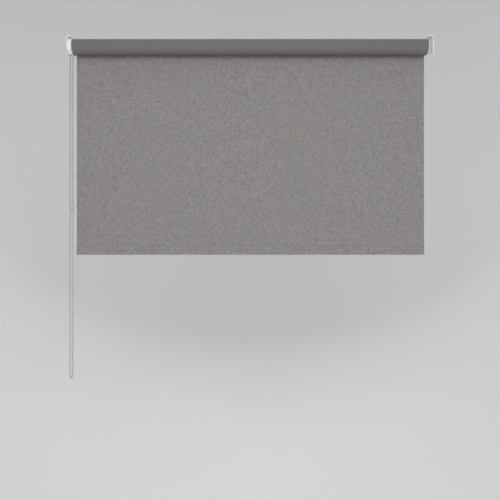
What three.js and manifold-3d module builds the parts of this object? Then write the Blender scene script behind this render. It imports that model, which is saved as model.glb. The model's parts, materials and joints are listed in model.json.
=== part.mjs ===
/*
 * A chain-driven roller blind for a window recess, at full size.
 *
 * Units are millimetres and +Z is up. +X runs along the roller from the
 * control end to the idle end, and -Y faces the room. The origin lies in the
 * fixing plane under the lintel, midway between the two brackets. The fabric
 * hangs off the back of the roll.
 */
import * as THREE from 'three';
import { mergeVertices } from 'three/addons/utils/BufferGeometryUtils.js';
import Module from 'manifold-3d';

const wasm = await Module();
wasm.setup();

// ---------------------------------------------------------------- Sizes

// Whole blind
const BLIND_WIDTH = 1000; // outer face of one bracket to the outer face of the other
const HEM_DROP = 572; // roller's axis down to the hem's lower edge
const FABRIC_THICKNESS = 0.45;
const ROLL_BUILD = 2.2; // fabric wound on the tube, measured outwards

// Gaps
const SEAT_GAP = 0.3; // between pieces that touch or seat
const TURN_GAP = 0.4; // between a turning piece and a still one beside it
const HEAD_GAP = 0.6; // over the control housing, under the bracket's flange
const CHAMFER = 0.8;

// Brackets
const PLATE = 2;
const FLANGE_DEPTH = 12;
const FLANGE_WIDTH = 42;
const FLANGE_HOLE_SPACING = 31;
const BEND_RADIUS = 3;
const CONTROL_PLATE_STEP = 0.8; // the round plate stays inside the housing's edge
const IDLE_PLATE_WIDTH = 44;
const IDLE_PLATE_BELOW = 23.5;
const IDLE_CORNER = 8;
const SCREW_HOLE_RADIUS = 2.2;
const SINK_RADIUS = 3.9;
const SIDE_HOLE_OFFSET = 15.5;
const LUG_OFFSET = 13;
const LUG_THICKNESS = 2.6;
const LUG_HEIGHT = 9;
const SCREW_WINDOW_RADIUS = 7;

// Control unit
const HOUSING_RADIUS = 22.4;
const HOUSING_WALL = 1.2;
const RIM_WALL = 1.6;
const GUARD_WALL = 1.4;
const EDGE_ROUND = 1;
const GUIDE_REACH = 2.6; // the chain guides' mouths below the housing's edge
const MOUTH_FLARE = 1.1;
const BRIDGE_GAP = 3; // the wheel's edge down to the bridge between the guides
const BRIDGE_RECESS = 1.5; // the guides' mouths below the bridge

// Chain and its wheel
const BEAD_DIAMETER = 4.5;
const BEAD_PITCH = 6;
const WHEEL_WALL = 1.6; // wheel's bore to the floor of its groove, at least
const CHEEK = 0.7;
const GROOVE_PLAY = 0.25; // on each side of a bead
const POCKET_PLAY = 0.65;
const GUIDE_BORE_PLAY = 0.45;

// Clutch
const SPINDLE_RADIUS = 6;
const SPINDLE_LENGTH = 34;
const SPRING_WIRE = 0.9;
const SPRING_PITCH = 1.3;
const SPRING_TURNS = 4;
const TANG_REACH = 1.85;
const TAB_HALF_ANGLE = Math.PI / 7;
const TANG_ANGLE = Math.PI / 3.75; // from the tab's middle to a tang
const TANG_SWEEP = Math.PI / 9;
const KEY_STEP = 1; // spindle's six-sided end inside its radius
const CROWN_LIP = 1.5;
const CLIP_FROM_END = 3;
const CLIP_THICKNESS = 0.8;
const CLIP_GROOVE_DEPTH = 1.4;
const CLIP_REACH = 2.6;
const FIXING_SCREW_RADIUS = 1.5;
const FIXING_SCREW_LENGTH = 12;
const FIXING_HEAD_RADIUS = 3.2;
const FIXING_HEAD_HEIGHT = 1.3;
const DRIVE_SLOT_LENGTH = 4;
const DRIVE_SLOT_WIDTH = 0.7;

// Roller
const TUBE_RADIUS = 19;
const TUBE_WALL = 1.2;
const KEY_WIDTH = 3;
const KEY_HEIGHT = 1.5;
const PLUG_FLANGE = 1.5;
const PLUG_FLANGE_STEP = 0.6; // flange beyond the tube's outside
const PLUG_LENGTH = 30;
const FLUTES = 10;
const FLUTE_DEPTH = 1.8;
const TAPE_WIDTH = 20;
const TAPE_THICKNESS = 0.3;
const FABRIC_INSET = 0.5; // each edge of the fabric inside the tube's end

// Idle end
const BUSH_WALL = 1.4;
const BUSH_FLANGE_STEP = 2.8;
const BUSH_FLANGE_DEPTH = 2.3;
const PIN_RADIUS = 3;
const PIN_COLLAR_DEPTH = 2;
const PIN_TAIL_RADIUS = 2;
const PIN_TRAVEL = 7;
const PLUG_BOSS_RADIUS = 12;
const PLUG_BOSS_NOSE = 6.5;
const PLUG_BOSS_DEPTH = 3.2;
const IDLE_TUBE_GAP = 10; // tube's end to the inner face of the idle bracket
const CHAMBER_STEP = 2.2; // spring chamber outside the pin
const CHAMBER_WALL = 6; // chamber's end to the tube's end
const SEAT_DEPTH = 3;
const PIN_SPRING_WIRE = 0.6;
const PIN_SPRING_TURNS = 8;

// Hem
const HEM_BAR_HEIGHT = 21;
const HEM_BAR_THICKNESS = 3;
const POCKET_CLOTH = 0.5;
const POCKET_SLACK = 1.5; // over and under the bar
const HEM_CAP_THICKNESS = 1.5;
const HEM_CAP_EDGE = 1.2; // cap beyond the bar, over and under it

// Chain connector
const CONNECTOR_BELOW = 445; // roller's axis down to the connector's middle
const CONNECTOR_RADIUS = 3.4;
const CONNECTOR_LENGTH = 13;

// Facets round a circle
const FINE = 56;
const MEDIUM = 32;
const SMALL = 16;
const CHAIN_SIDES = 8;
const WIRE_SIDES = 6;

// Solids that join overlap this much, and cutters overrun by it
const OVERLAP = 0.5;

// The free loop of chain, from the front guide round to the rear one: places
// across the wheel and below the roller's axis.
const CHAIN_ROUTE = [
  [-10.5, -25.3],
  [-10.5, -140],
  [-10.5, -280],
  [-10.5, -430],
  [-10.5, -580],
  [-10.5, -730],
  [-10.5, -860],
  [-10.5, -901.3],
  [-9.7, -905.3],
  [-7.4, -908.7],
  [-4.0, -911.0],
  [0, -911.8],
  [4.0, -911.0],
  [7.4, -908.7],
  [9.7, -905.3],
  [10.5, -901.3],
  [10.5, -860],
  [10.5, -730],
  [10.5, -580],
  [10.5, -430],
  [10.5, -280],
  [10.5, -140],
  [10.5, -25.3],
];

// ------------------------------------------------- Places that follow

const ROLL_RADIUS = TUBE_RADIUS + ROLL_BUILD;
const AXIS_DROP = PLATE + HEAD_GAP + Math.max(HOUSING_RADIUS, ROLL_RADIUS);
const BEAD_RADIUS = BEAD_DIAMETER / 2;
const LEAST_PITCH_RADIUS = SPINDLE_RADIUS + WHEEL_WALL + BEAD_RADIUS + 2 * SEAT_GAP;
const POCKETS = Math.ceil((2 * Math.PI * LEAST_PITCH_RADIUS) / BEAD_PITCH);
const PITCH_RADIUS = (BEAD_PITCH * POCKETS) / (2 * Math.PI);
const CHEEK_RADIUS = PITCH_RADIUS + BEAD_RADIUS + SEAT_GAP;
const BRIDGE_TOP = CHEEK_RADIUS + BRIDGE_GAP;
const GUIDE_BELOW = HOUSING_RADIUS + GUIDE_REACH;
const GUIDE_BORE = BEAD_RADIUS + GUIDE_BORE_PLAY;
const KEY_RADIUS = SPINDLE_RADIUS - KEY_STEP;
const SPRING_OUTER = SPINDLE_RADIUS + SEAT_GAP + SPRING_WIRE;
const CLUTCH_BORE = SPRING_OUTER + TANG_REACH + 1.5 * SEAT_GAP;
const TUBE_INNER = TUBE_RADIUS - TUBE_WALL;
const PLUG_RADIUS = TUBE_INNER - SEAT_GAP;
const PLUG_FLANGE_RADIUS = TUBE_RADIUS + PLUG_FLANGE_STEP;
const CHAMBER_RADIUS = PIN_RADIUS + CHAMBER_STEP;
const PIN_SPRING_MEAN = (PIN_TAIL_RADIUS + CHAMBER_RADIUS) / 2;
const BUSH_RADIUS = PIN_RADIUS + SEAT_GAP + BUSH_WALL;
const POCKET_HEIGHT = HEM_BAR_HEIGHT + 2 * (POCKET_CLOTH + POCKET_SLACK);
const POCKET_THICKNESS = HEM_BAR_THICKNESS + 2 * (POCKET_CLOTH + SEAT_GAP);

// Along X, from the control bracket inwards
const CONTROL_FACE = -BLIND_WIDTH / 2;
const HOUSING_START = CONTROL_FACE + PLATE + SEAT_GAP;
const WHEEL_START = HOUSING_START + HOUSING_WALL + TURN_GAP;
const GROOVE_WIDTH = BEAD_DIAMETER + 2 * GROOVE_PLAY;
const WHEEL_END = WHEEL_START + GROOVE_WIDTH + 2 * CHEEK;
const CHAIN_X = (WHEEL_START + WHEEL_END) / 2;
const GUARD_START = WHEEL_END + TURN_GAP;
const GUARD_END = GUARD_START + GUARD_WALL;
const GUIDE_RADIUS = CHAIN_X - HOUSING_START - HOUSING_WALL - SEAT_GAP;
const MOUTH_RADIUS = GUIDE_RADIUS + MOUTH_FLARE;
const SPINDLE_START = HOUSING_START + HOUSING_WALL + SEAT_GAP;
const SPINDLE_END = SPINDLE_START + SPINDLE_LENGTH;
const CLIP_AT = SPINDLE_END - CLIP_FROM_END;
const CROWN_START = GUARD_END + TURN_GAP;
const LIP_END = CLIP_AT - 3 * SEAT_GAP;
const TUBE_START = CROWN_START + PLUG_FLANGE + SEAT_GAP;

// Along X, from the idle bracket inwards
const IDLE_FACE = BLIND_WIDTH / 2;
const IDLE_PLATE_INNER = IDLE_FACE - PLATE;
const TUBE_END = IDLE_PLATE_INNER - IDLE_TUBE_GAP;
const PLUG_FACE = TUBE_END + SEAT_GAP + PLUG_FLANGE;
const PLUG_START = TUBE_END - PLUG_LENGTH;
const CHAMBER_END = TUBE_END - CHAMBER_WALL;
const COLLAR_START = CHAMBER_END - SEAT_GAP - PIN_COLLAR_DEPTH;

const FABRIC_START = TUBE_START + FABRIC_INSET;
const FABRIC_END = TUBE_END - FABRIC_INSET;

// Across the blind: the hanging fabric is the roll's next layer
const DROP_Y = ROLL_RADIUS + SEAT_GAP + FABRIC_THICKNESS / 2;

// ----------------------------------------------------------- Materials

function finish(color, roughness, metalness = 0) {
  return new THREE.MeshStandardMaterial({ color, roughness, metalness });
}

const whitePaint = finish(0xf1f1ef, 0.4);
const whitePlastic = finish(0xf4f4f2, 0.35);
const greyPlastic = finish(0xb9b6b3, 0.5);
const springSteel = finish(0x9c9ea1, 0.3, 1);
const zincSteel = finish(0xc3c4c2, 0.35, 1);
const aluminium = finish(0xc9cacc, 0.35, 1);
const fabricFace = finish(0x888583, 0.9);
const fabricReverse = finish(0x7a7573, 0.75);
const tapeFilm = finish(0xd8d4c8, 0.6);
const chainMetal = finish(0x9a9a9a, 0.35, 1);

// -------------------------------------------------------- Solid shapes

/** A closed geometry as a solid that can be joined and cut. */
function solid(geometry) {
  const bare = geometry.clone();
  bare.deleteAttribute('normal');
  bare.deleteAttribute('uv');
  const merged = mergeVertices(bare, 1e-4);
  return new wasm.Manifold(new wasm.Mesh({
    numProp: 3,
    vertProperties: Float32Array.from(merged.attributes.position.array),
    triVerts: Uint32Array.from(merged.index.array),
  }));
}

/** A solid as a geometry that a mesh can show. */
function geometryOf(body) {
  const surface = body.getMesh();
  const geometry = new THREE.BufferGeometry();
  const places = Float32Array.from(surface.vertProperties);
  geometry.setAttribute('position', new THREE.BufferAttribute(places, 3));
  geometry.setIndex(new THREE.BufferAttribute(Uint32Array.from(surface.triVerts), 1));
  geometry.computeVertexNormals();
  return geometry;
}

/** Joins solids into one. */
function join(first, ...others) {
  return others.reduce((whole, piece) => whole.add(piece), first);
}

/** Cuts solids out of the first. */
function cut(first, ...others) {
  return others.reduce((whole, piece) => whole.subtract(piece), first);
}

/** A named piece, from a solid or a geometry. */
function piece(name, shape, material) {
  const geometry = shape.isBufferGeometry ? shape : geometryOf(shape);
  const mesh = new THREE.Mesh(geometry, material);
  mesh.name = name;
  return mesh;
}

/** Turned about the X axis: the profile lists [x, radius] and closes on itself. */
function turned(profile, facets = MEDIUM) {
  const outline = profile.map(([x, radius]) => new THREE.Vector2(radius, x));
  if (THREE.ShapeUtils.area(outline) < 0) outline.reverse();
  const onAxis = outline.findIndex((point) => point.x === 0);
  if (onAxis < 0) {
    outline.push(outline[0].clone());
  } else {
    while (outline[0].x !== 0 || outline[outline.length - 1].x !== 0) {
      outline.push(outline.shift());
    }
  }
  return solid(new THREE.LatheGeometry(outline, facets).rotateZ(-Math.PI / 2));
}

/** A solid disc or cylinder about the X axis. */
function disc(from, to, radius, facets = MEDIUM) {
  return turned([[from, 0], [from, radius], [to, radius], [to, 0]], facets);
}

/** A shape drawn in the YZ plane, given its depth along X. */
function alongX(shape, from, to, curveSegments = 6) {
  const geometry = new THREE.ExtrudeGeometry(shape, {
    depth: to - from,
    bevelEnabled: false,
    curveSegments,
  });
  const turn = new THREE.Matrix4().makeBasis(
    new THREE.Vector3(0, 1, 0),
    new THREE.Vector3(0, 0, 1),
    new THREE.Vector3(1, 0, 0),
  );
  return solid(geometry.applyMatrix4(turn).translate(from, 0, 0));
}

/** A shape drawn in the XZ plane, given its width along Y, centred on y = 0. */
function acrossY(shape, width, curveSegments = 6) {
  const geometry = new THREE.ExtrudeGeometry(shape, {
    depth: width,
    bevelEnabled: false,
    curveSegments,
  });
  return solid(geometry.rotateX(Math.PI / 2).translate(0, width / 2, 0));
}

/** A box from its lowest corner to its highest. */
function box([x0, y0, z0], [x1, y1, z1]) {
  const geometry = new THREE.BoxGeometry(x1 - x0, y1 - y0, z1 - z0);
  return solid(geometry.translate((x0 + x1) / 2, (y0 + y1) / 2, (z0 + z1) / 2));
}

/** A cylinder or cone that stands along Z. */
function upright(x, y, from, to, lowRadius, highRadius = lowRadius, facets = SMALL) {
  const geometry = new THREE.CylinderGeometry(highRadius, lowRadius, to - from, facets);
  return solid(geometry.rotateX(Math.PI / 2).translate(x, y, (from + to) / 2));
}

/** A rectangle with round corners. */
function roundedRectangle(left, low, right, high, radius) {
  const outline = new THREE.Shape();
  outline.moveTo(left + radius, low);
  outline.lineTo(right - radius, low);
  outline.absarc(right - radius, low + radius, radius, -Math.PI / 2, 0, false);
  outline.lineTo(right, high - radius);
  outline.absarc(right - radius, high - radius, radius, 0, Math.PI / 2, false);
  outline.lineTo(left + radius, high);
  outline.absarc(left + radius, high - radius, radius, Math.PI / 2, Math.PI, false);
  outline.lineTo(left, low + radius);
  outline.absarc(left + radius, low + radius, radius, Math.PI, 1.5 * Math.PI, false);
  return outline;
}

/** A sector of a ring in the YZ plane, between two angles measured from +Y. */
function sector(inner, outer, from, to) {
  const outline = new THREE.Shape();
  outline.absarc(0, 0, outer, from, to, false);
  outline.absarc(0, 0, inner, to, from, true);
  outline.closePath();
  return outline;
}

/** A path that goes straight from each listed point to the next. */
class PointPath extends THREE.Curve {
  constructor(points) {
    super();
    this.points = points;
  }

  getPoint(t, target = new THREE.Vector3()) {
    const place = t * (this.points.length - 1);
    const index = Math.min(Math.floor(place), this.points.length - 2);
    return target.lerpVectors(this.points[index], this.points[index + 1], place - index);
  }

  getPointAt(u, target) {
    return this.getPoint(u, target);
  }

  getTangentAt(u, target = new THREE.Vector3()) {
    const step = 0.5 / (this.points.length - 1);
    const before = this.getPoint(Math.max(0, u - step));
    const after = this.getPoint(Math.min(1, u + step));
    return target.subVectors(after, before).normalize();
  }
}

/** A round tube whose middle passes through the points. */
function tubeThrough(points, radius, sides) {
  const section = new THREE.Shape();
  for (let side = 0; side < sides; side += 1) {
    const angle = (2 * Math.PI * side) / sides;
    const corner = [radius * Math.cos(angle), radius * Math.sin(angle)];
    if (side === 0) section.moveTo(...corner);
    else section.lineTo(...corner);
  }
  section.closePath();
  return solid(new THREE.ExtrudeGeometry(section, {
    steps: points.length - 1,
    extrudePath: new PointPath(points),
  }));
}

// ---------------------------------------------------------- Brackets
// A bracket is drawn with its outer face at x = 0, its flange reaching to +X
// and the roller's axis at the origin of Y and Z.

const SHOULDER = AXIS_DROP - 2 * BEND_RADIUS; // where the bend runs into the plate

/** The flange over the roller's end and the bend down into the plate. */
function bracketFlange() {
  const profile = new THREE.Shape();
  const bendAt = AXIS_DROP - BEND_RADIUS;
  profile.moveTo(0, SHOULDER);
  profile.lineTo(PLATE, SHOULDER);
  profile.lineTo(PLATE, bendAt);
  profile.absarc(BEND_RADIUS, bendAt, BEND_RADIUS - PLATE, Math.PI, Math.PI / 2, true);
  profile.lineTo(FLANGE_DEPTH, AXIS_DROP - PLATE);
  profile.lineTo(FLANGE_DEPTH, AXIS_DROP);
  profile.lineTo(BEND_RADIUS, AXIS_DROP);
  profile.absarc(BEND_RADIUS, bendAt, BEND_RADIUS, Math.PI / 2, Math.PI, false);
  profile.closePath();
  const holes = [-1, 1].map((side) => upright(
    (PLATE + FLANGE_DEPTH) / 2,
    (side * FLANGE_HOLE_SPACING) / 2,
    AXIS_DROP - 2 * PLATE,
    AXIS_DROP + PLATE,
    SCREW_HOLE_RADIUS,
  ));
  return cut(acrossY(profile, FLANGE_WIDTH), ...holes);
}

/** Countersunk holes above and below the axis, for fixing through the plate. */
function sideHoles() {
  return [-1, 1].map((side) => join(
    disc(-PLATE, 2 * PLATE, SCREW_HOLE_RADIUS, SMALL),
    turned([
      [PLATE / 4, 0],
      [PLATE / 4, SCREW_HOLE_RADIUS],
      [1.25 * PLATE, SINK_RADIUS],
      [1.25 * PLATE, 0],
    ], SMALL),
  ).translate([0, 0, side * SIDE_HOLE_OFFSET]));
}

/** The control bracket: a round plate with slots for the housing's lugs. */
function controlBracket() {
  const radius = HOUSING_RADIUS - CONTROL_PLATE_STEP;
  const half = FLANGE_WIDTH / 2;
  const outline = new THREE.Shape();
  outline.moveTo(half, SHOULDER + OVERLAP);
  outline.lineTo(-half, SHOULDER + OVERLAP);
  outline.lineTo(-radius, 0);
  outline.absarc(0, 0, radius, Math.PI, 2 * Math.PI, false);
  outline.closePath();
  const slots = [-1, 1].map((side) => lug(side, -PLATE, 2 * PLATE, SEAT_GAP));
  const window = disc(-PLATE, 2 * PLATE, SCREW_WINDOW_RADIUS);
  const plate = alongX(outline, 0, PLATE, MEDIUM / 2);
  return cut(join(plate, bracketFlange()), window, ...slots, ...sideHoles());
}

/** One of the housing's lugs, or with some room the slot that takes it. */
function lug(side, from, to, room) {
  const middle = side * LUG_OFFSET;
  const halfWidth = LUG_THICKNESS / 2 + room;
  const halfHeight = LUG_HEIGHT / 2 + room;
  return box([from, middle - halfWidth, -halfHeight], [to, middle + halfWidth, halfHeight]);
}

/** The idle bracket: a square plate with round corners and the bush's hole. */
function idleBracket() {
  const half = IDLE_PLATE_WIDTH / 2;
  const turnAt = half - IDLE_CORNER;
  const lowTurn = IDLE_CORNER - IDLE_PLATE_BELOW;
  const outline = new THREE.Shape();
  outline.moveTo(FLANGE_WIDTH / 2, SHOULDER + OVERLAP);
  outline.lineTo(-FLANGE_WIDTH / 2, SHOULDER + OVERLAP);
  outline.lineTo(-half, SHOULDER - IDLE_CORNER);
  outline.lineTo(-half, lowTurn);
  outline.absarc(-turnAt, lowTurn, IDLE_CORNER, Math.PI, 1.5 * Math.PI, false);
  outline.lineTo(turnAt, -IDLE_PLATE_BELOW);
  outline.absarc(turnAt, lowTurn, IDLE_CORNER, 1.5 * Math.PI, 2 * Math.PI, false);
  outline.lineTo(half, SHOULDER - IDLE_CORNER);
  outline.closePath();
  const hole = disc(-PLATE, 2 * PLATE, BUSH_RADIUS + SEAT_GAP);
  return cut(join(alongX(outline, 0, PLATE), bracketFlange()), hole, ...sideHoles());
}

// ------------------------------------------------------- Control unit
// Drawn on the roller's axis, at the places along X worked out above.

/** The back shell: a dished disc with lugs that hook into the bracket. */
function controlHousing() {
  const rimEnd = GUARD_START - SEAT_GAP;
  const floor = HOUSING_START + HOUSING_WALL;
  const shell = turned([
    [HOUSING_START, 0],
    [HOUSING_START, HOUSING_RADIUS - EDGE_ROUND],
    [HOUSING_START + 0.3 * EDGE_ROUND, HOUSING_RADIUS - 0.3 * EDGE_ROUND],
    [HOUSING_START + EDGE_ROUND, HOUSING_RADIUS],
    [rimEnd, HOUSING_RADIUS],
    [rimEnd, HOUSING_RADIUS - RIM_WALL],
    [floor, HOUSING_RADIUS - RIM_WALL],
    [floor, 0],
  ], FINE);
  const gate = PITCH_RADIUS + MOUTH_RADIUS + SEAT_GAP;
  const opening = box(
    [floor, -gate, -HOUSING_RADIUS - OVERLAP],
    [rimEnd + OVERLAP, gate, -PITCH_RADIUS],
  );
  const socket = disc(HOUSING_START - OVERLAP, floor + OVERLAP, KEY_RADIUS + SEAT_GAP, 6);
  const lugs = [-1, 1].map((side) => lug(side, CONTROL_FACE + SEAT_GAP, floor - OVERLAP, 0));
  return cut(join(shell, ...lugs), opening, socket);
}

/** The front cover of the wheel, with the two guides that the chain leaves by. */
function chainGuard() {
  const cover = turned([
    [GUARD_START, CLUTCH_BORE],
    [GUARD_START, HOUSING_RADIUS],
    [GUARD_END - EDGE_ROUND, HOUSING_RADIUS],
    [GUARD_END - 0.3 * EDGE_ROUND, HOUSING_RADIUS - 0.3 * EDGE_ROUND],
    [GUARD_END, HOUSING_RADIUS - EDGE_ROUND],
    [GUARD_END, CLUTCH_BORE],
  ], FINE);
  const span = PITCH_RADIUS + GUIDE_RADIUS;
  const bridge = box(
    [CHAIN_X, -span, -GUIDE_BELOW + BRIDGE_RECESS],
    [GUARD_END, span, -BRIDGE_TOP],
  );
  const flareTop = -HOUSING_RADIUS - SEAT_GAP;
  const guides = [];
  const bores = [];
  for (const side of [-1, 1]) {
    const y = side * PITCH_RADIUS;
    guides.push(upright(CHAIN_X, y, -GUIDE_BELOW, -BRIDGE_TOP, GUIDE_RADIUS));
    guides.push(upright(CHAIN_X, y, -GUIDE_BELOW, flareTop, MOUTH_RADIUS, GUIDE_RADIUS));
    bores.push(upright(CHAIN_X, y, -GUIDE_BELOW - OVERLAP, -BRIDGE_TOP + OVERLAP, GUIDE_BORE));
  }
  return cut(join(cover, bridge, ...guides), ...bores);
}

/** The fixed spindle, with its six-sided key, screw bore and clip groove. */
function clutchSpindle() {
  const groove = SPINDLE_RADIUS - CLIP_GROOVE_DEPTH;
  const grooveEnd = CLIP_AT + CLIP_THICKNESS + 2 * SEAT_GAP;
  const body = turned([
    [SPINDLE_START, 0],
    [SPINDLE_START, SPINDLE_RADIUS],
    [CLIP_AT, SPINDLE_RADIUS],
    [CLIP_AT, groove],
    [grooveEnd, groove],
    [grooveEnd, SPINDLE_RADIUS],
    [SPINDLE_END - CHAMFER, SPINDLE_RADIUS],
    [SPINDLE_END, SPINDLE_RADIUS - CHAMFER],
    [SPINDLE_END, 0],
  ]);
  const key = disc(HOUSING_START, SPINDLE_START + OVERLAP, KEY_RADIUS, 6);
  const bore = disc(
    HOUSING_START - OVERLAP,
    HOUSING_START + FIXING_SCREW_LENGTH,
    FIXING_SCREW_RADIUS + SEAT_GAP,
    SMALL,
  );
  return cut(join(body, key), bore);
}

/** The open ring that keeps the crown on the spindle. */
function spindleClip() {
  const from = CLIP_AT + SEAT_GAP;
  const inner = SPINDLE_RADIUS - CLIP_GROOVE_DEPTH + SEAT_GAP;
  const shape = sector(inner, SPINDLE_RADIUS + CLIP_REACH, -0.35 * Math.PI, 1.35 * Math.PI);
  return alongX(shape, from, from + CLIP_THICKNESS, MEDIUM);
}

/** The screw that holds the spindle to the housing. */
function spindleScrew() {
  const seat = HOUSING_START - SEAT_GAP;
  const face = seat - FIXING_HEAD_HEIGHT;
  const tip = seat + FIXING_SCREW_LENGTH - SEAT_GAP;
  const body = turned([
    [face, 0],
    [face, FIXING_HEAD_RADIUS - CHAMFER],
    [(seat + face) / 2, FIXING_HEAD_RADIUS],
    [seat, FIXING_HEAD_RADIUS],
    [seat, FIXING_SCREW_RADIUS],
    [tip - CHAMFER, FIXING_SCREW_RADIUS],
    [tip, 0],
  ], SMALL);
  const long = DRIVE_SLOT_LENGTH / 2;
  const half = DRIVE_SLOT_WIDTH / 2;
  const floor = face + CHAMFER;
  const across = box([face - OVERLAP, -long, -half], [floor, long, half]);
  const upAndDown = box([face - OVERLAP, -half, -long], [floor, half, long]);
  return cut(body, across, upAndDown);
}

/** The chain wheel: a pocketed groove, and a tab that drives the crown. */
function chainWheel() {
  const grooveFloor = PITCH_RADIUS - BEAD_RADIUS - SEAT_GAP;
  const bore = SPINDLE_RADIUS + SEAT_GAP;
  const wheel = turned([
    [WHEEL_START, bore],
    [WHEEL_START, CHEEK_RADIUS],
    [WHEEL_START + CHEEK, CHEEK_RADIUS],
    [WHEEL_START + CHEEK, grooveFloor],
    [WHEEL_END - CHEEK, grooveFloor],
    [WHEEL_END - CHEEK, CHEEK_RADIUS],
    [WHEEL_END, CHEEK_RADIUS],
    [WHEEL_END, bore],
  ], 2 * POCKETS);
  const pockets = [];
  for (let index = 0; index < POCKETS; index += 1) {
    const angle = (2 * Math.PI * index) / POCKETS;
    const ball = new THREE.SphereGeometry(BEAD_RADIUS + POCKET_PLAY, 10, 8);
    ball.translate(CHAIN_X, PITCH_RADIUS * Math.cos(angle), PITCH_RADIUS * Math.sin(angle));
    pockets.push(solid(ball));
  }
  const straightUp = Math.PI / 2;
  const tab = alongX(
    sector(
      SPRING_OUTER + SEAT_GAP,
      CLUTCH_BORE - SEAT_GAP,
      straightUp - TAB_HALF_ANGLE,
      straightUp + TAB_HALF_ANGLE,
    ),
    WHEEL_END - OVERLAP,
    springEnd(1) + SEAT_GAP,
  );
  return join(cut(wheel, ...pockets), tab);
}

/** Where a wrap spring's first turn lies along X. */
function springStart(index) {
  const length = SPRING_TURNS * SPRING_PITCH + 2 * SPRING_WIRE;
  return WHEEL_END + SEAT_GAP + SPRING_WIRE / 2 + index * length;
}

/** Where a wrap spring ends along X. */
function springEnd(index) {
  return springStart(index) + SPRING_TURNS * SPRING_PITCH + SPRING_WIRE / 2;
}

/** One wrap spring: a coil on the spindle, with a tang turned out at each end. */
function wrapSpring(index) {
  const coil = SPINDLE_RADIUS + SEAT_GAP + SPRING_WIRE / 2;
  const from = Math.PI / 2 + TANG_ANGLE;
  const sweep = 2 * Math.PI * SPRING_TURNS - 2 * TANG_ANGLE;
  const steps = 20 * SPRING_TURNS;
  const points = [];
  for (let step = 0; step <= steps; step += 1) {
    const swept = (sweep * step) / steps;
    const fromEnd = Math.min(swept, sweep - swept);
    const lift = Math.max(0, 1 - fromEnd / TANG_SWEEP);
    const radius = coil + TANG_REACH * lift * lift;
    const x = springStart(index) + (SPRING_PITCH * swept) / (2 * Math.PI);
    points.push(aroundAxis(x, radius, from + swept));
  }
  return tubeThrough(points, SPRING_WIRE / 2, WIRE_SIDES);
}

/** A place at a radius and an angle from +Y about the X axis. */
function aroundAxis(x, radius, angle) {
  return new THREE.Vector3(x, radius * Math.cos(angle), radius * Math.sin(angle));
}

// ------------------------------------------------------------- Roller

/** A plug's outline, with square flutes that leave ribs to grip the tube. */
function flutedOutline() {
  const pointsPerFlute = 8;
  const outline = new THREE.Shape();
  for (let step = 0; step < FLUTES * pointsPerFlute; step += 1) {
    const angle = (2 * Math.PI * step) / (FLUTES * pointsPerFlute);
    const place = step % pointsPerFlute;
    const inFlute = place === 2 || place === 3;
    const reach = inFlute ? PLUG_RADIUS - FLUTE_DEPTH : PLUG_RADIUS;
    const corner = [reach * Math.cos(angle), reach * Math.sin(angle)];
    if (step === 0) outline.moveTo(...corner);
    else outline.lineTo(...corner);
  }
  outline.closePath();
  return outline;
}

/** Room in a plug for the key inside the tube. */
function keySlot(from, to) {
  const inner = TUBE_INNER - KEY_HEIGHT - SEAT_GAP;
  const half = KEY_WIDTH / 2 + SEAT_GAP;
  return box([from, -half, inner], [to, half, TUBE_RADIUS]);
}

/** The tube, with one key along its inside. */
function rollerTube() {
  const keyTop = TUBE_INNER - KEY_HEIGHT;
  const footAngle = Math.asin(KEY_WIDTH / 2 / TUBE_INNER);
  const topAngle = Math.asin(KEY_WIDTH / 2 / keyTop);
  const up = Math.PI / 2;
  const hollow = new THREE.Path();
  hollow.absarc(0, 0, TUBE_INNER, up + footAngle, up + 2 * Math.PI - footAngle, false);
  hollow.lineTo(keyTop * Math.cos(up - topAngle), keyTop * Math.sin(up - topAngle));
  hollow.lineTo(keyTop * Math.cos(up + topAngle), keyTop * Math.sin(up + topAngle));
  hollow.closePath();
  const shape = new THREE.Shape();
  shape.absarc(0, 0, TUBE_RADIUS, 0, 2 * Math.PI, false);
  shape.holes.push(hollow);
  return alongX(shape, TUBE_START, TUBE_END, FINE);
}

/** The crown: it plugs into the tube and turns on the spindle. */
function driveCrown() {
  const bodyStart = CROWN_START + PLUG_FLANGE;
  const bodyEnd = bodyStart + PLUG_LENGTH;
  const lipStart = LIP_END - CROWN_LIP;
  const flange = disc(CROWN_START, bodyStart, PLUG_FLANGE_RADIUS, FINE);
  const body = alongX(flutedOutline(), bodyStart - OVERLAP, bodyEnd);
  const clutchRoom = disc(CROWN_START - OVERLAP, lipStart, CLUTCH_BORE);
  const bearing = disc(CROWN_START, bodyEnd, SPINDLE_RADIUS + SEAT_GAP);
  const mouth = disc(LIP_END, bodyEnd + OVERLAP, CLUTCH_BORE);
  const rib = box(
    [CROWN_START + SEAT_GAP, -KEY_WIDTH / 2, -CLUTCH_BORE - OVERLAP],
    [lipStart + OVERLAP, KEY_WIDTH / 2, -SPRING_OUTER - SEAT_GAP],
  );
  const slot = keySlot(bodyStart, bodyEnd + OVERLAP);
  return join(cut(join(flange, body), clutchRoom, bearing, mouth, slot), rib);
}

/** The strip of tape that holds the fabric's first turn to the tube. */
function fixingTape() {
  const inner = TUBE_RADIUS + SEAT_GAP;
  const half = TAPE_WIDTH / 2 / TUBE_RADIUS;
  const shape = sector(inner, inner + TAPE_THICKNESS, Math.PI / 2 - half, Math.PI / 2 + half);
  return alongX(shape, FABRIC_START, FABRIC_END, SMALL / 2);
}

/** The wound fabric. */
function fabricRoll() {
  const inner = TUBE_RADIUS + TAPE_THICKNESS + 2 * SEAT_GAP;
  return turned([
    [FABRIC_START, inner],
    [FABRIC_START, ROLL_RADIUS],
    [FABRIC_END, ROLL_RADIUS],
    [FABRIC_END, inner],
  ], FINE);
}

// ----------------------------------------------------------- Idle end

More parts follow.
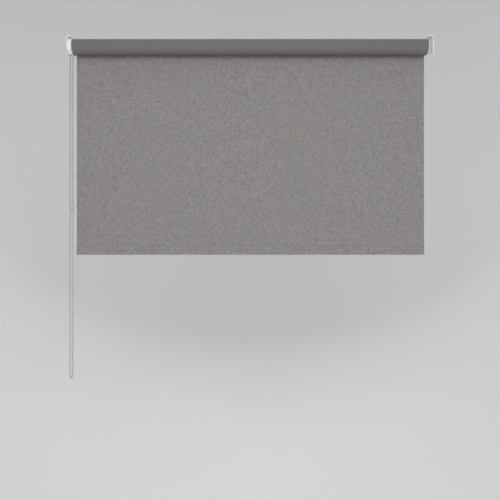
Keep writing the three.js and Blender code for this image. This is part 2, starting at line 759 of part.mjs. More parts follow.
/** The idle plug: a tapered boss outside the tube, a spring chamber inside it. */
function idlePlug() {
  const flangeStart = TUBE_END + SEAT_GAP;
  const nose = PLUG_FACE + PLUG_BOSS_DEPTH;
  const outside = turned([
    [flangeStart, 0],
    [flangeStart, PLUG_FLANGE_RADIUS],
    [PLUG_FACE, PLUG_FLANGE_RADIUS],
    [PLUG_FACE, PLUG_BOSS_RADIUS],
    [nose - CHAMFER, PLUG_BOSS_NOSE + CHAMFER],
    [nose, PLUG_BOSS_NOSE],
    [nose, 0],
  ], FINE);
  const body = alongX(flutedOutline(), PLUG_START, flangeStart + OVERLAP);
  const chamber = disc(PLUG_START - OVERLAP, CHAMBER_END, CHAMBER_RADIUS);
  const pinBore = disc(PLUG_START, nose + OVERLAP, PIN_RADIUS + SEAT_GAP, SMALL);
  const slot = keySlot(PLUG_START - OVERLAP, flangeStart);
  return cut(join(outside, body), chamber, pinBore, slot);
}

/** The disc that closes the spring chamber. */
function springSeat() {
  return disc(PLUG_START, PLUG_START + SEAT_DEPTH, CHAMBER_RADIUS - SEAT_GAP);
}

/** The sprung pin: a nose in the bush, a collar that stops it and a tail. */
function idlePin() {
  const collarEnd = COLLAR_START + PIN_COLLAR_DEPTH;
  const collarRadius = CHAMBER_RADIUS - TURN_GAP;
  const tailEnd = PLUG_START + SEAT_DEPTH + PIN_TRAVEL + TURN_GAP;
  const tip = IDLE_FACE - SEAT_GAP;
  return turned([
    [tailEnd, 0],
    [tailEnd, PIN_TAIL_RADIUS],
    [COLLAR_START, PIN_TAIL_RADIUS],
    [COLLAR_START, collarRadius],
    [collarEnd, collarRadius],
    [collarEnd, PIN_RADIUS],
    [tip - CHAMFER, PIN_RADIUS],
    [tip, PIN_RADIUS - CHAMFER],
    [tip, 0],
  ], SMALL);
}

/** The spring that pushes the pin out. */
function pinSpring() {
  const from = PLUG_START + SEAT_DEPTH + SEAT_GAP + PIN_SPRING_WIRE / 2;
  const to = COLLAR_START - SEAT_GAP - PIN_SPRING_WIRE / 2;
  const steps = 14 * PIN_SPRING_TURNS;
  const points = [];
  for (let step = 0; step <= steps; step += 1) {
    const share = step / steps;
    const angle = 2 * Math.PI * PIN_SPRING_TURNS * share;
    points.push(aroundAxis(from + (to - from) * share, PIN_SPRING_MEAN, angle));
  }
  return tubeThrough(points, PIN_SPRING_WIRE / 2, WIRE_SIDES);
}

/** The bush in the idle bracket, waisted towards the roller. */
function idleBush() {
  const seat = IDLE_PLATE_INNER - SEAT_GAP;
  const flangeRadius = BUSH_RADIUS + BUSH_FLANGE_STEP;
  return turned([
    [seat - BUSH_FLANGE_DEPTH, PIN_RADIUS + SEAT_GAP],
    [seat - BUSH_FLANGE_DEPTH, BUSH_RADIUS],
    [seat - CHAMFER, flangeRadius],
    [seat, flangeRadius],
    [seat, BUSH_RADIUS],
    [IDLE_FACE - SEAT_GAP, BUSH_RADIUS],
    [IDLE_FACE - SEAT_GAP, PIN_RADIUS + SEAT_GAP],
  ]);
}

// ----------------------------------------------- Hanging fabric and hem

/** The fabric between the roll and the hem. */
function fabricDrop() {
  const half = FABRIC_THICKNESS / 2;
  return box(
    [FABRIC_START, -half, -HEM_DROP + POCKET_HEIGHT + SEAT_GAP],
    [FABRIC_END, half, 0],
  );
}

// The hem is drawn about the middle of its pocket.

/** A flat bar's section with round long edges. */
function barSection(thickness, height) {
  const radius = 0.48 * thickness;
  return roundedRectangle(-thickness / 2, -height / 2, thickness / 2, height / 2, radius);
}

/** The sleeve of fabric that holds the bar. */
function hemPocket() {
  const section = barSection(POCKET_THICKNESS, POCKET_HEIGHT);
  const room = barSection(POCKET_THICKNESS - 2 * POCKET_CLOTH, POCKET_HEIGHT - 2 * POCKET_CLOTH);
  section.holes.push(room);
  return alongX(section, FABRIC_START, FABRIC_END);
}

/** The weight bar inside the pocket. */
function hemBar() {
  const inset = HEM_CAP_THICKNESS + 2 * SEAT_GAP;
  const section = barSection(HEM_BAR_THICKNESS, HEM_BAR_HEIGHT);
  return alongX(section, FABRIC_START + inset, FABRIC_END - inset);
}

/** A cap over one end of the bar, just inside the pocket. */
function hemCap(from) {
  const section = barSection(HEM_BAR_THICKNESS, HEM_BAR_HEIGHT + 2 * HEM_CAP_EDGE);
  return alongX(section, from, from + HEM_CAP_THICKNESS);
}

// -------------------------------------------------------------- Chain

/** The chain that hangs free, from guide to guide. */
function chainLoop() {
  const points = CHAIN_ROUTE.map(([y, z]) => new THREE.Vector3(CHAIN_X, y, z));
  return tubeThrough(points, BEAD_RADIUS, CHAIN_SIDES);
}

/** The chain inside the housing, up through a guide, over the wheel and down. */
function chainWrap() {
  const steps = 16;
  const low = CHAIN_ROUTE[0][1] + SEAT_GAP;
  const points = [new THREE.Vector3(CHAIN_X, -PITCH_RADIUS, low)];
  for (let step = 0; step <= steps; step += 1) {
    points.push(aroundAxis(CHAIN_X, PITCH_RADIUS, Math.PI * (1 - step / steps)));
  }
  points.push(new THREE.Vector3(CHAIN_X, PITCH_RADIUS, low));
  return tubeThrough(points, BEAD_RADIUS, CHAIN_SIDES);
}

/** The sleeve that closes the chain into a loop. */
function chainConnector() {
  const half = CONNECTOR_LENGTH / 2;
  const bore = BEAD_RADIUS + SEAT_GAP;
  const profile = [
    [-half, bore],
    [-half, CONNECTOR_RADIUS - 0.5 * CHAMFER],
    [-half + CHAMFER, CONNECTOR_RADIUS],
    [half - CHAMFER, CONNECTOR_RADIUS],
    [half, CONNECTOR_RADIUS - 0.5 * CHAMFER],
    [half, bore],
  ];
  return turned(profile, SMALL).rotate([0, 90, 0]);
}

// ----------------------------------------------------------- Assembly

const blind = new THREE.Group();

const roller = new THREE.Group();
roller.position.z = -AXIS_DROP;
blind.add(roller);

const controlPlate = piece('control_bracket', controlBracket(), whitePaint);
controlPlate.position.x = CONTROL_FACE;
roller.add(controlPlate);

const idlePlate = piece('idle_bracket', idleBracket(), whitePaint);
idlePlate.position.x = IDLE_FACE;
idlePlate.rotation.z = Math.PI;
roller.add(idlePlate);

roller.add(piece('control_housing', controlHousing(), whitePlastic));
roller.add(piece('chain_guard', chainGuard(), whitePlastic));
roller.add(piece('clutch_spindle', clutchSpindle(), greyPlastic));
roller.add(piece('spindle_clip', spindleClip(), springSteel));
roller.add(piece('spindle_screw', spindleScrew(), zincSteel));
roller.add(piece('chain_wheel', chainWheel(), greyPlastic));
roller.add(piece('wrap_spring_outer', wrapSpring(0), springSteel));
roller.add(piece('wrap_spring_inner', wrapSpring(1), springSteel));

roller.add(piece('roller_tube', rollerTube(), aluminium));
roller.add(piece('drive_crown', driveCrown(), greyPlastic));
roller.add(piece('fixing_tape', fixingTape(), tapeFilm));
roller.add(piece('fabric_roll', fabricRoll(), fabricReverse));

roller.add(piece('idle_plug', idlePlug(), whitePlastic));
roller.add(piece('spring_seat', springSeat(), greyPlastic));
roller.add(piece('idle_pin', idlePin(), whitePlastic));
roller.add(piece('pin_spring', pinSpring(), springSteel));
roller.add(piece('idle_bush', idleBush(), whitePlastic));

roller.add(piece('chain_wrap', chainWrap(), chainMetal));
roller.add(piece('chain_loop', chainLoop(), chainMetal));
const connector = piece('chain_connector', chainConnector(), chainMetal);
connector.position.set(CHAIN_X, CHAIN_ROUTE.at(-1)[0], -CONNECTOR_BELOW);
roller.add(connector);

const drop = piece('fabric_drop', fabricDrop(), fabricFace);
drop.position.y = DROP_Y;
roller.add(drop);

const hem = new THREE.Group();
hem.position.set(0, DROP_Y, -HEM_DROP + POCKET_HEIGHT / 2);
roller.add(hem);
hem.add(piece('hem_pocket', hemPocket(), fabricFace));
hem.add(piece('hem_bar', hemBar(), aluminium));
hem.add(piece('hem_cap_control', hemCap(FABRIC_START + SEAT_GAP), greyPlastic));
hem.add(piece('hem_cap_idle', hemCap(FABRIC_END - SEAT_GAP - HEM_CAP_THICKNESS), greyPlastic));

export default blind;
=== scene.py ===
"""A chain-driven roller blind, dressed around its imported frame.

The frame holds every rigid piece at its real size. This script gives each of
them its finish and its eased edges, and makes the soft and fine pieces in
their place: the wound cloth, the hanging cloth, the hem pocket, the bead
chain, its connector and the idle pin's spring. Lengths are in metres, +Z is
up, +X runs along the roller from the control end, and -Y faces the room.
"""
import json
import logging
import math
from dataclasses import dataclass
from enum import Enum
from typing import ClassVar, Optional, Sequence, Union

import bpy
import numpy as np
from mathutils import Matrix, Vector


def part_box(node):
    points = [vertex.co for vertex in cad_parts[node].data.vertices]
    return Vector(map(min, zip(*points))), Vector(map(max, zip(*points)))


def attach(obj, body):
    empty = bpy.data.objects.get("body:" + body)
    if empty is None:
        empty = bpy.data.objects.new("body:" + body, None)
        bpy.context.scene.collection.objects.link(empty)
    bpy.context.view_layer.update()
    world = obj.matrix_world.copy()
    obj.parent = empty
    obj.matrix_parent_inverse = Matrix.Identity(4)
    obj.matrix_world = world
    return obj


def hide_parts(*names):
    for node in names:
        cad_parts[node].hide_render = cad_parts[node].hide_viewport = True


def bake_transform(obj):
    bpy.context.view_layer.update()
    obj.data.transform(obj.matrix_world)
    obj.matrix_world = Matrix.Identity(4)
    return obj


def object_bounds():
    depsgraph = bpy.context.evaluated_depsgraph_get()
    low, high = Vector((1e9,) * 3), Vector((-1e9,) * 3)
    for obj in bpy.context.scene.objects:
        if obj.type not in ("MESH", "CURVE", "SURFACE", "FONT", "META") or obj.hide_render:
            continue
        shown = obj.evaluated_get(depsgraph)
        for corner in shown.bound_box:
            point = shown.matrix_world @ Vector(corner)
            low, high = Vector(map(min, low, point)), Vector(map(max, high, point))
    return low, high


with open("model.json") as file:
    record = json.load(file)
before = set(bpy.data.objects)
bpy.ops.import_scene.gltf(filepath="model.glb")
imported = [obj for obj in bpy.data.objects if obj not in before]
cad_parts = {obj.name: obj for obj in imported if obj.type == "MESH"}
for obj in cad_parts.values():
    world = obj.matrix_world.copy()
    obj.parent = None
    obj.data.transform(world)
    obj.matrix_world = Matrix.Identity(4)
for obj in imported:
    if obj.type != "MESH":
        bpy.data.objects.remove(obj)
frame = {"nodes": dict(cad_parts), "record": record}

CAD_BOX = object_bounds()
LOG = logging.getLogger("roller_blind")
MM = 0.001
TURN = 2 * math.pi

Colour = tuple[float, float, float]
Place = tuple[float, float, float]

# How a screen's 0 to 1 turns into light.
SCREEN_SCALE = 1.055
SCREEN_LIFT = 0.0521
SCREEN_POWER = 2.4

# The free loop of chain, from the front guide round to the rear one: across
# the wheel and below the roller's axis, in millimetres.
CHAIN_ROUTE = (
    (-10.5, -25.3),
    (-10.5, -140),
    (-10.5, -280),
    (-10.5, -430),
    (-10.5, -580),
    (-10.5, -730),
    (-10.5, -860),
    (-10.5, -901.3),
    (-9.7, -905.3),
    (-7.4, -908.7),
    (-4.0, -911.0),
    (0, -911.8),
    (4.0, -911.0),
    (7.4, -908.7),
    (9.7, -905.3),
    (10.5, -901.3),
    (10.5, -860),
    (10.5, -730),
    (10.5, -580),
    (10.5, -430),
    (10.5, -280),
    (10.5, -140),
    (10.5, -25.3),
)


# ---------------------------------------------------------------- Shaders


class Link:
    """An output of a shader node, which Python's operators work on."""

    def __init__(self, graph: "Graph", socket: bpy.types.NodeSocket) -> None:
        """Keep the graph that the socket is in, and the socket."""
        self.graph = graph
        self.socket = socket

    def _math(self, operation: str, *values: "Value") -> "Link":
        """Add a Math node.

        Args:
            operation: The Math node's operation.
            values: Its inputs, in order.

        Returns:
            The node's result.
        """
        return self.graph.node("ShaderNodeMath", {"operation": operation}, dict(enumerate(values)))

    def __add__(self, other: "Value") -> "Link":
        """This plus the other."""
        return self._math("ADD", self, other)

    def __radd__(self, other: "Value") -> "Link":
        """The other plus this."""
        return self._math("ADD", other, self)

    def __sub__(self, other: "Value") -> "Link":
        """This minus the other."""
        return self._math("SUBTRACT", self, other)

    def __rsub__(self, other: "Value") -> "Link":
        """The other minus this."""
        return self._math("SUBTRACT", other, self)

    def __mul__(self, other: "Value") -> "Link":
        """This times the other."""
        return self._math("MULTIPLY", self, other)

    def __rmul__(self, other: "Value") -> "Link":
        """The other times this."""
        return self._math("MULTIPLY", other, self)

    def __truediv__(self, other: "Value") -> "Link":
        """This over the other."""
        return self._math("DIVIDE", self, other)

    def __rtruediv__(self, other: "Value") -> "Link":
        """The other over this."""
        return self._math("DIVIDE", other, self)

    def __pow__(self, other: "Value") -> "Link":
        """This to the power of the other."""
        return self._math("POWER", self, other)

    def __abs__(self) -> "Link":
        """This without its sign."""
        return self._math("ABSOLUTE", self)

    def sine(self) -> "Link":
        """The sine of this."""
        return self._math("SINE", self)

    def floor(self) -> "Link":
        """The whole part of this."""
        return self._math("FLOOR", self)

    def fraction(self) -> "Link":
        """What is over the whole part of this."""
        return self._math("FRACT", self)

    def between(self, low: float, high: float) -> "Link":
        """A smooth step, from 0 at low to 1 at high.

        Args:
            low: Where the step starts.
            high: Where it ends; it may be under low, and the step then falls.

        Returns:
            The step's height, from 0 to 1.
        """
        sockets = {"Value": self, "From Min": low, "From Max": high}
        return self.graph.node("ShaderNodeMapRange", {"interpolation_type": "SMOOTHSTEP"}, sockets)

    def part(self, name: str) -> "Link":
        """Another output of the same node."""
        return Link(self.graph, self.socket.node.outputs[name])


Value = Union[Link, float]
Tint = Union[Link, Sequence[float]]


class Graph:
    """A material's node tree, built from expressions on links."""

    def __init__(self, name: str) -> None:
        """Start an empty material with that name."""
        self.material = bpy.data.materials.new(name)
        self.material.use_nodes = True
        self.tree = self.material.node_tree
        self.tree.nodes.clear()
        self.place = self.node("ShaderNodeTexCoord").part("Object")
        self.along = self.node("ShaderNodeSeparateXYZ", sockets={0: self.place})

    def _add(self, kind: str, settings: dict, sockets: dict) -> bpy.types.Node:
        """Add a node to the tree.

        Args:
            kind: The node's type.
            settings: Its properties.
            sockets: Its inputs' values or links, by name or number.

        Returns:
            The node.
        """
        made = self.tree.nodes.new(kind)
        for key, value in settings.items():
            setattr(made, key, value)
        for key, value in sockets.items():
            if isinstance(value, Link):
                self.tree.links.new(value.socket, made.inputs[key])
            else:
                made.inputs[key].default_value = value
        return made

    def node(
        self,
        kind: str,
        settings: Optional[dict] = None,
        sockets: Optional[dict] = None,
        output: int = 0,
    ) -> Link:
        """Add a node that expressions go on from.

        Args:
            kind: The node's type.
            settings: Its properties, which are set first.
            sockets: Its inputs' values or links, by name or number.
            output: The number of the output that is wanted.

        Returns:
            That output.
        """
        return Link(self, self._add(kind, settings or {}, sockets or {}).outputs[output])

    def noise(self, pitch: Place, detail: float = 2.0, roughness: float = 0.5) -> Link:
        """Noise whose grains are about pitch long along X, Y and Z.

        Args:
            pitch: The grain's size each way, in metres.
            detail: How many finer octaves it has.
            roughness: How strong they are.

        Returns:
            The noise, around 0.5.
        """
        scale = [1 / size for size in pitch]
        stretched = self.node("ShaderNodeVectorMath", {"operation": "MULTIPLY"}, {0: self.place, 1: scale})
        sockets = {"Vector": stretched, "Scale": 1.0, "Detail": detail, "Roughness": roughness}
        return self.node("ShaderNodeTexNoise", {"noise_dimensions": "3D"}, sockets)

    def mix(self, factor: Value, first: Tint, second: Tint, blend: str = "MIX") -> Link:
        """Blend two colours.

        Args:
            factor: How much of the second shows.
            first: The colour at 0.
            second: The colour at 1.
            blend: The Mix node's way of blending.

        Returns:
            The blended colour.
        """
        settings = {"data_type": "RGBA", "blend_type": blend}
        colours = [tint if isinstance(tint, Link) else (*tint, 1.0) for tint in (first, second)]
        return self.node("ShaderNodeMix", settings, {0: factor, 6: colours[0], 7: colours[1]}, output=2)

    def shaded(self, colour: Tint, share: Value) -> Link:
        """A colour times a value, for light and dark of one tint."""
        grey = self.node("ShaderNodeCombineColor", sockets={0: share, 1: share, 2: share})
        return self.mix(1.0, colour, grey, "MULTIPLY")

    def bump(self, height: Link, depth: float) -> Link:
        """The normal of a height that goes from 0 to 1, with 1 that depth in metres."""
        sockets = {"Strength": 1.0, "Distance": depth, "Height": height}
        return self.node("ShaderNodeBump", sockets=sockets)

    def finish(self, sockets: dict) -> bpy.types.Material:
        """Close the tree with a Principled shader.

        Args:
            sockets: The shader's values and links.

        Returns:
            The material.
        """
        shader = self.node("ShaderNodeBsdfPrincipled", sockets=sockets)
        self._add("ShaderNodeOutputMaterial", {}, {"Surface": shader})
        return self.material


def from_screen(red: int, green: int, blue: int) -> Colour:
    """A colour as a shader takes it, from the 0 to 255 that a screen shows."""
    shown = [value / 255 for value in (red, green, blue)]
    return tuple((value / SCREEN_SCALE + SCREEN_LIFT) ** SCREEN_POWER for value in shown)


def cube(size: float) -> Place:
    """A grain's size that is the same all three ways."""
    return (size,) * 3


# --------------------------------------------------------------- Finishes


class Lay(Enum):
    """Which way a metal's fine lines run."""

    ALONG = "along the roller"
    NONE = "no lines"


@dataclass(frozen=True)
class PowderCoat:
    """White powder coat on pressed steel: a faint peel and a little dust."""

    colour: Colour = from_screen(240, 240, 238)
    dust: Colour = from_screen(176, 172, 166)
    dust_share: float = 0.12
    speck: float = 0.35 * MM
    cloud: float = 35 * MM
    peel: float = 1.1 * MM
    peel_depth: float = 0.02 * MM
    roughness: float = 0.38
    gloss: float = 0.12

    def made(self, name: str) -> bpy.types.Material:
        """Build the material with that name."""
        graph = Graph(name)
        peel = graph.noise(cube(self.peel), detail=1.0)
        cloud = graph.noise(cube(self.cloud), detail=3.0)
        specks = graph.noise(cube(self.speck), detail=0.0).between(0.74, 0.8)
        colour = graph.shaded(self.colour, 0.95 + 0.08 * cloud)
        colour = graph.mix(specks * self.dust_share, colour, self.dust)
        return graph.finish({
            "Base Color": colour,
            "Roughness": self.roughness + 0.1 * cloud + 0.05 * peel,
            "Normal": graph.bump(peel, self.peel_depth),
            "IOR": 1.5,
            "Coat Weight": self.gloss,
            "Coat Roughness": 0.2,
        })


@dataclass(frozen=True)
class Moulding:
    """Moulded plastic with a fine spark-eroded grain."""

    colour: Colour
    roughness: float = 0.34
    grain: float = 0.28 * MM
    grain_depth: float = 0.006 * MM
    flow: Place = (6 * MM, 14 * MM, 14 * MM)
    handled: float = 2.2 * MM

    def made(self, name: str) -> bpy.types.Material:
        """Build the material with that name."""
        graph = Graph(name)
        grain = graph.noise(cube(self.grain), detail=2.0)
        flow = graph.noise(self.flow, detail=3.0, roughness=0.6)
        handling = graph.noise(cube(self.handled), detail=4.0, roughness=0.65).between(0.55, 0.75)
        return graph.finish({
            "Base Color": graph.shaded(self.colour, 0.965 + 0.06 * flow - 0.02 * handling),
            "Roughness": self.roughness + 0.08 * flow + 0.07 * handling,
            "Normal": graph.bump(grain, self.grain_depth),
            "IOR": 1.49,
        })


@dataclass(frozen=True)
class BareMetal:
    """Bare or plated metal, with the lines its making left in it."""

    colour: Colour
    roughness: float
    lay: Lay
    line: float = 0.12 * MM
    line_length: float = 40 * MM
    depth: float = 0.004 * MM
    cloud: float = 9 * MM
    mottle: float = 0.0
    spangles_per_metre: float = 900.0

    def _grain(self) -> Place:
        """The lines' size along X, Y and Z, or a coarser grain's where there are none."""
        if self.lay is Lay.ALONG:
            return (self.line_length, self.line, self.line)
        return cube(4 * self.line)

    def made(self, name: str) -> bpy.types.Material:
        """Build the material with that name."""
        graph = Graph(name)
        lines = graph.noise(self._grain(), detail=3.0, roughness=0.65)
        cloud = graph.noise(cube(self.cloud), detail=4.0, roughness=0.6)
        cells = {"Vector": graph.place, "Scale": self.spangles_per_metre}
        spangle = graph.node("ShaderNodeTexVoronoi", {"feature": "F1"}, cells)
        share = 0.9 + 0.12 * lines + 0.08 * cloud - self.mottle * spangle
        return graph.finish({
            "Base Color": graph.shaded(self.colour, share),
            "Metallic": 1.0,
            "Roughness": self.roughness + 0.12 * lines + 0.08 * cloud,
            "Normal": graph.bump(lines, self.depth),
        })


@dataclass(frozen=True)
class TextureWeave:
    """The cloth's room side: a plain weave of uneven yarn, with thick short slubs both ways, and painted
    shade in the hollows between the yarns.
    """

    colour: Colour = from_screen(146, 143, 141)
    warm: Colour = from_screen(150, 143, 142)
    cool: Colour = from_screen(141, 143, 140)
    yarn: float = 0.62 * MM
    sway: Place = (4 * MM, 9 * MM, 4 * MM)
    sway_yarns: float = 0.9
    dip: float = 0.45
    slub_width: float = 2.4 * MM
    slub_length: float = 11 * MM
    slub_depth: float = 3 * MM
    patch: float = 13 * MM
    hue: Place = (19 * MM, 20 * MM, 27 * MM)
    fibre: Place = (0.09 * MM, 0.09 * MM, 0.5 * MM)
    relief: float = 0.11 * MM
    darkest: float = 0.59
    # Painted shade: the share by which the base colour darkens in the hollows between the yarns, following
    # the weave's height.
    yarn_hollow_shade: float = 0.22
    by_slub: float = 0.44

    def _weave(self, graph: Graph) -> Link:
        """The yarns' height, each passing over one and under the next.

        Args:
            graph: The material being built.

        Returns:
            The height, from 0 to 1.
        """
        sway = graph.noise(self.sway, detail=1.0) * self.sway_yarns
        across = graph.along.part("X") * (1 / self.yarn) + sway
        down = graph.along.part("Z") * (1 / self.yarn) + sway
        over = ((across.floor() + down.floor()) * 0.5).fraction() * 2.0
        warp = abs((across * math.pi).sine())
        weft = abs((down * math.pi).sine())
        floor = 1 - self.dip
        return over * warp * (floor + self.dip * weft) + (1 - over) * weft * (floor + self.dip * warp)

    def made(self, name: str) -> bpy.types.Material:
        """Build the material with that name."""
        graph = Graph(name)
        weave = self._weave(graph)
        tall = (self.slub_width, self.slub_depth, self.slub_length)
        wide = tall[::-1]
        upright = graph.noise(tall, detail=3.0, roughness=0.6)
        level = graph.noise(wide, detail=3.0, roughness=0.6)
        patch = graph.noise(cube(self.patch), detail=1.0)
        hue = graph.noise(self.hue, detail=1.0).between(0.4, 0.6)
        runs = patch.between(0.42, 0.58)
        slubs = runs * upright + (1 - runs) * level
        swell = slubs.between(0.3, 0.7)
        tint = graph.mix(hue, self.cool, self.warm)
        tint = graph.mix(0.5, tint, self.colour)
        # The weave term paints shade into the hollows between the yarns; the slub term lightens the thick
        # slubs.
        share = self.darkest + self.yarn_hollow_shade * weave + self.by_slub * swell
        fibres = graph.noise(self.fibre, detail=1.0)
        height = weave * 0.75 + swell * 0.6 + fibres * 0.15
        return graph.finish({
            "Base Color": graph.shaded(tint, share),
            "Roughness": 0.86 + 0.1 * fibres,
            "Normal": graph.bump(height, self.relief),
            "Specular IOR Level": 0.3,
            "Sheen Weight": 0.12,
            "Sheen Roughness": 0.5,
        })


@dataclass(frozen=True)
class SmoothCoating:
    """The cloth's window side: a thin taupe coating that the weave just shows through."""

    colour: Colour = from_screen(114, 109, 108)
    yarn: float = 0.62 * MM
    streak: Place = (60 * MM, 2 * MM, 2 * MM)
    cloud: float = 45 * MM
    relief: float = 0.012 * MM

    def made(self, name: str) -> bpy.types.Material:
        """Build the material with that name."""
        graph = Graph(name)
        show_through = graph.noise(cube(self.yarn), detail=1.0)
        streak = graph.noise(self.streak, detail=3.0, roughness=0.6)
        cloud = graph.noise(cube(self.cloud), detail=3.0)
        share = 0.94 + 0.05 * show_through + 0.05 * streak + 0.04 * cloud
        return graph.finish({
            "Base Color": graph.shaded(self.colour, share),
            "Roughness": 0.54 + 0.1 * cloud + 0.06 * show_through,
            "Normal": graph.bump(show_through, self.relief),
            "Specular IOR Level": 0.3,
            "Sheen Weight": 0.03,
            "Sheen Roughness": 0.4,
        })


@dataclass(frozen=True)
class CutEdge:
    """The cloth's cut edge: pale yarn ends between two skins."""

    colour: Colour = from_screen(150, 146, 142)
    end: Place = (0.25 * MM, 0.25 * MM, 0.6 * MM)
    relief: float = 0.06 * MM

    def made(self, name: str) -> bpy.types.Material:
        """Build the material with that name."""
        graph = Graph(name)
        ends = graph.noise(self.end, detail=2.0)
        return graph.finish({
            "Base Color": graph.shaded(self.colour, 0.78 + 0.4 * ends),
            "Roughness": 0.9 + 0.06 * ends,
            "Normal": graph.bump(ends, self.relief),
        })


@dataclass(frozen=True)
class TapeFilm:
    """Double-sided tape: a cream film with small trapped bubbles."""

    colour: Colour = from_screen(222, 216, 200)
    bubble: float = 1.6 * MM
    bubble_depth: float = 0.03 * MM
    cloud: Place = (12 * MM, 4 * MM, 4 * MM)

    def made(self, name: str) -> bpy.types.Material:
        """Build the material with that name."""
        graph = Graph(name)
        bubbles = graph.noise(cube(self.bubble), detail=1.0).between(0.6, 0.7)
        cloud = graph.noise(self.cloud, detail=2.0)
        return graph.finish({
            "Base Color": graph.shaded(self.colour, 0.9 + 0.1 * cloud + 0.06 * bubbles),
            "Roughness": 0.42 + 0.2 * cloud,
            "Normal": graph.bump(bubbles, self.bubble_depth),
        })


@dataclass(frozen=True)
class StudioPaper:
    """The pale paper that the blind is shown against."""

    colour: Colour = from_screen(238, 238, 238)
    cloud: float = 0.6
    tooth: float = 1.5 * MM
    tooth_depth: float = 0.05 * MM

    def made(self, name: str) -> bpy.types.Material:
        """Build the material with that name."""
        graph = Graph(name)
        cloud = graph.noise(cube(self.cloud), detail=2.0)
        tooth = graph.noise(cube(self.tooth), detail=2.0)
        return graph.finish({
            "Base Color": graph.shaded(self.colour, 0.985 + 0.03 * cloud),
            "Roughness": 0.9 + 0.05 * tooth,
            "Normal": graph.bump(tooth, self.tooth_depth),
        })


class Palette:
    """Every finish of the blind, by the record's slot."""

    def __init__(self) -> None:
        """Build the materials once."""
        steel = BareMetal(from_screen(196, 198, 200), 0.2, Lay.NONE)
        zinc = BareMetal(from_screen(205, 206, 203), 0.28, Lay.NONE, mottle=0.15)
        aluminium = BareMetal(from_screen(214, 216, 218), 0.3, Lay.ALONG)
        nickel = BareMetal(from_screen(190, 189, 186), 0.22, Lay.NONE, depth=0.002 * MM)
        self.by_slot = {
            "white_paint": PowderCoat().made("powder_coat_white"),
            "white_plastic": Moulding(from_screen(243, 243, 241)).made("moulding_white"),
            "grey_plastic": Moulding(from_screen(184, 182, 179), roughness=0.45).made("moulding_grey"),
            "spring_steel": steel.made("spring_wire"),
            "zinc_steel": zinc.made("zinc_plate"),
            "aluminium": aluminium.made("extruded_aluminium"),
            "fabric_face": TextureWeave().made("cloth_textured_face"),
            "fabric_reverse": SmoothCoating().made("cloth_coated_reverse"),
            "tape": TapeFilm().made("tape_film"),
            "chain_metal": nickel.made("nickel_beads"),
        }
        self.cut_edge = CutEdge().made("cloth_cut_edge")

    def of(self, slot: str) -> bpy.types.Material:
        """The material of that slot."""
        return self.by_slot[slot]


# ----------------------------------------------------------------- Meshes


class Shell:
    """A mesh as it is being made: points, and faces with a material's number each."""

    def __init__(self) -> None:
        """Start with nothing."""
        self.points: list[np.ndarray] = []
        self.count = 0
        self.faces: list[tuple[int, ...]] = []
        self.slots: list[int] = []

    def add(self, points: np.ndarray) -> int:
        """Add points, as rows of x, y and z, and return the first one's number."""
        start = self.count
        self.points.append(np.asarray(points, float).reshape(-1, 3))
        self.count += len(self.points[-1])
        return start

    def face(self, corners: Sequence[int], slot: int = 0) -> None:
        """Add a face with that material's number."""
        self.faces.append(tuple(int(corner) for corner in corners))
        self.slots.append(slot)

    def rings(self, rings: np.ndarray, caps: bool = True) -> int:
        """Join closed rows of points, each to the next, with quads.

        Args:
            rings: The points, by row, place in the row, and x, y and z.
            caps: Whether the first and last rows are filled.

        Returns:
            The first point's number.
        """
        rows, across = rings.shape[:2]
        start = self.add(rings)
        for row in range(rows - 1):
            low, high = start + row * across, start + (row + 1) * across
            for place in range(across):
                following = (place + 1) % across
                self.face((low + place, low + following, high + following, high + place))
        if caps:
            last = start + (rows - 1) * across
            self.face(range(start + across - 1, start - 1, -1))
            self.face(range(last, last + across))
        return start

    def folded(self, rings: np.ndarray, slots: tuple[int, int] = (0, 0)) -> None:
        """Join rows that run out along one face and back along the other, and close both ends.

        Args:
            rings: The points, by row, place in the row, and x, y and z.
            slots: The materials of the strips across the first row and the last.
        """
        rows, around = rings.shape[:2]
        start = self.rings(rings, caps=False)
        last = start + (rows - 1) * around
        for place in range(around // 2 - 1):
            facing = around - 1 - place
            self.face((start + place + 1, start + place, start + facing, start + facing - 1), slots[0])
            self.face((last + place, last + place + 1, last + facing - 1, last + facing), slots[1])

    def piece(
        self, name: str, materials: Sequence[bpy.types.Material], smooth: float = 35.0,
    ) -> bpy.types.Object:
        """Close the mesh into an object.

        Args:
            name: The piece's name.
            materials: Its materials, in the order that the faces number them.
            smooth: The sharpest angle that still shades smoothly, in degrees.

        Returns:
            The object, in the frame, riding on nothing yet.
        """
        mesh = bpy.data.meshes.new(name)
        mesh.from_pydata(np.concatenate(self.points).tolist(), [], self.faces)
        for material in materials:
            mesh.materials.append(material)
        mesh.polygons.foreach_set("material_index", self.slots)
        mesh.polygons.foreach_set("use_smooth", [True] * len(self.faces))
        mesh.validate()
        mesh.update()
        mesh.set_sharp_from_angle(angle=math.radians(smooth))
        made = bpy.data.objects.new(name, mesh)
        bpy.context.scene.collection.objects.link(made)
        return made


